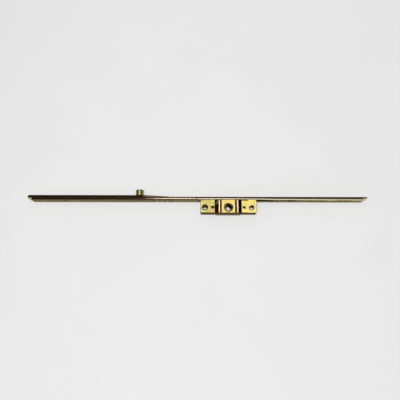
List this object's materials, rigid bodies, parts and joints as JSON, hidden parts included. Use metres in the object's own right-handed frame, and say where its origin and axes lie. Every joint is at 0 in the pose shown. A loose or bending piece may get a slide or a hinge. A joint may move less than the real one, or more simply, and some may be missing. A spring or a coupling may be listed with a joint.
{
  "type": "window espagnolette",
  "caption": "Window espagnolette: long faceplate with sliding drive rod, roller cam and a rack-and-sector gear case turned by a square spindle.",
  "frame": {"origin": "on the spindle axis, in the plane of the gear case's rear face", "axes": "+X along the bar away from the cam, +Y towards the front of the faceplate and the cam, +Z along the spindle towards the handle"},
  "size_m": [0.469, 0.0338, 0.016],
  "materials": {
    "faceplate": "yellow-passivated zinc plating, satin",
    "case": "yellow-passivated zinc die casting, satin",
    "rods": "yellow-passivated zinc plating, satin",
    "slide": "yellow-passivated zinc plating, satin",
    "follower": "sintered steel, oiled",
    "rivets": "yellow-passivated zinc plating, satin",
    "cam": "yellow-passivated turned steel"
  },
  "bodies": {
    "case": {"faceplate": "faceplate", "gear_housing": "case", "gear_back_cover": "case", "cover_rivets": "rivets", "case_studs": "rivets", "stud_sleeves": "rivets", "guide_rivets": "rivets", "guide_bushes": "rivets"},
    "drive": {"rack_rod": "rods", "drive_rod": "rods", "lap_rivets": "rivets", "cam_slide": "slide", "slide_rivets": "rivets", "slide_spacers": "rivets", "cam_spacer": "rivets", "cam_stud": "cam", "cam_washer": "cam"},
    "follower": {"spindle_follower": "follower"},
    "roller": {"cam_roller": "cam"}
  },
  "joints": [
    {"name": "rod_slide", "type": "slide", "parent": "case", "child": "drive", "axis": [1, 0, 0], "range_m": [-0.009, 0.009]},
    {"name": "follower_turn", "type": "hinge", "parent": "case", "child": "follower", "pos_m": [0, 0, 0.008], "axis": [0, 0, 1], "range_deg": [-45.5, 45.5]},
    {"name": "roller_spin", "type": "hinge", "parent": "drive", "child": "roller", "pos_m": [-0.1231, 0.02, 0.008], "axis": [0, 1, 0], "continuous": true}
  ],
  "couplings": [
    {"joint": "follower_turn", "follows": "rod_slide", "rad_per_m": -87.26}
  ]
}
